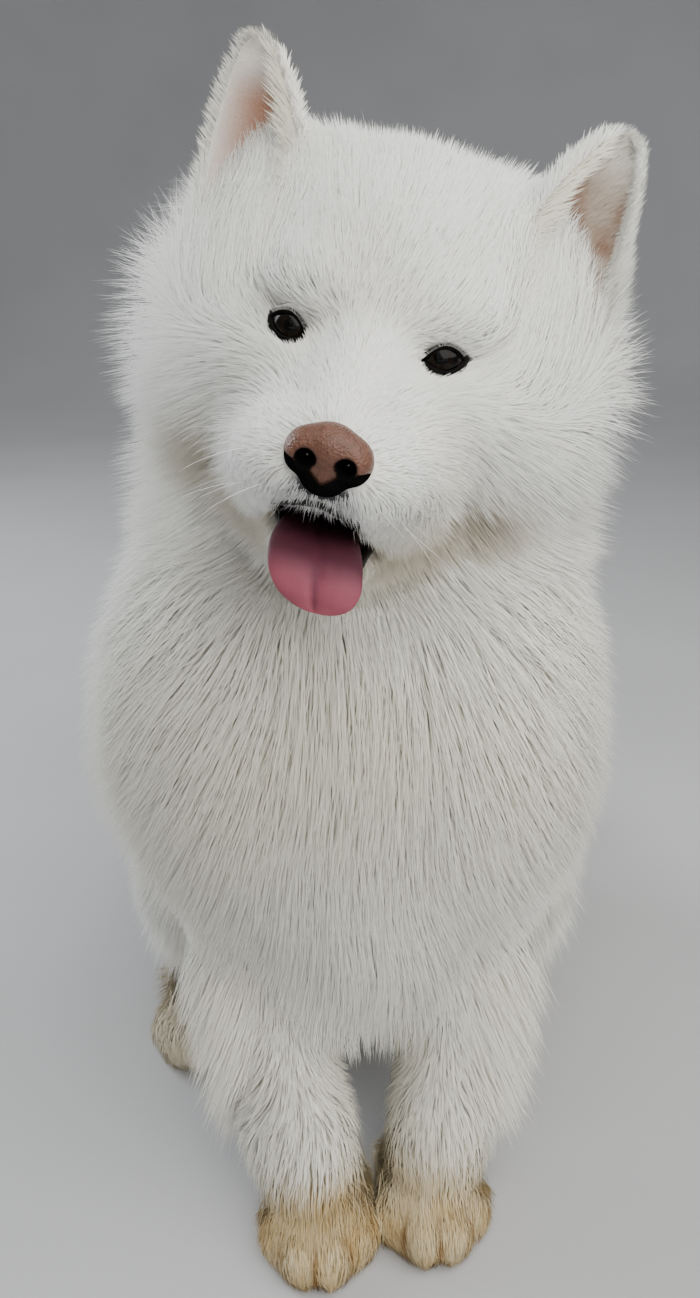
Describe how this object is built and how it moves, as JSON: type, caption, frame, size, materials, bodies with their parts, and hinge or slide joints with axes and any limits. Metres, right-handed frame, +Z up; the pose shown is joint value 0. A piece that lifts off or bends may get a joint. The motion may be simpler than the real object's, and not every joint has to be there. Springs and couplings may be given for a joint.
{
  "type": "samoyed dog model",
  "caption": "Life-size still model of a fluffy white dog sitting upright, head tilted, mouth open with the tongue out.",
  "frame": {"origin": "centre of the footprint of the whole dog, on the floor", "axes": "+Z up, the dog looks along -Y, its left side is at +X"},
  "size_m": [0.3832, 0.6702, 0.7257],
  "materials": {
    "coat": "long soft white hair",
    "biscuit_coat": "short soft hair with a tan tinge",
    "ear_coat": "short velvety hair",
    "nose_leather": "pebbled and wet",
    "eye": "wet gloss",
    "tongue": "moist",
    "rim_skin": "bare dark skin of the lips and eye rims"
  },
  "bodies": {
    "root": {"eye_right": "eye", "eye_left": "eye", "neck": "coat", "torso": "coat", "thigh_right": "coat", "thigh_left": "coat", "foreleg_right": "coat", "foreleg_left": "coat", "forepaw_right": "biscuit_coat", "forepaw_left": "biscuit_coat", "hindfoot_right": "biscuit_coat", "hindfoot_left": "biscuit_coat", "tail": "coat", "head": "coat", "lower_jaw": "coat", "ear_right": "ear_coat", "ear_left": "ear_coat", "nose": "nose_leather", "tongue": "tongue"}
  },
  "joints": []
}
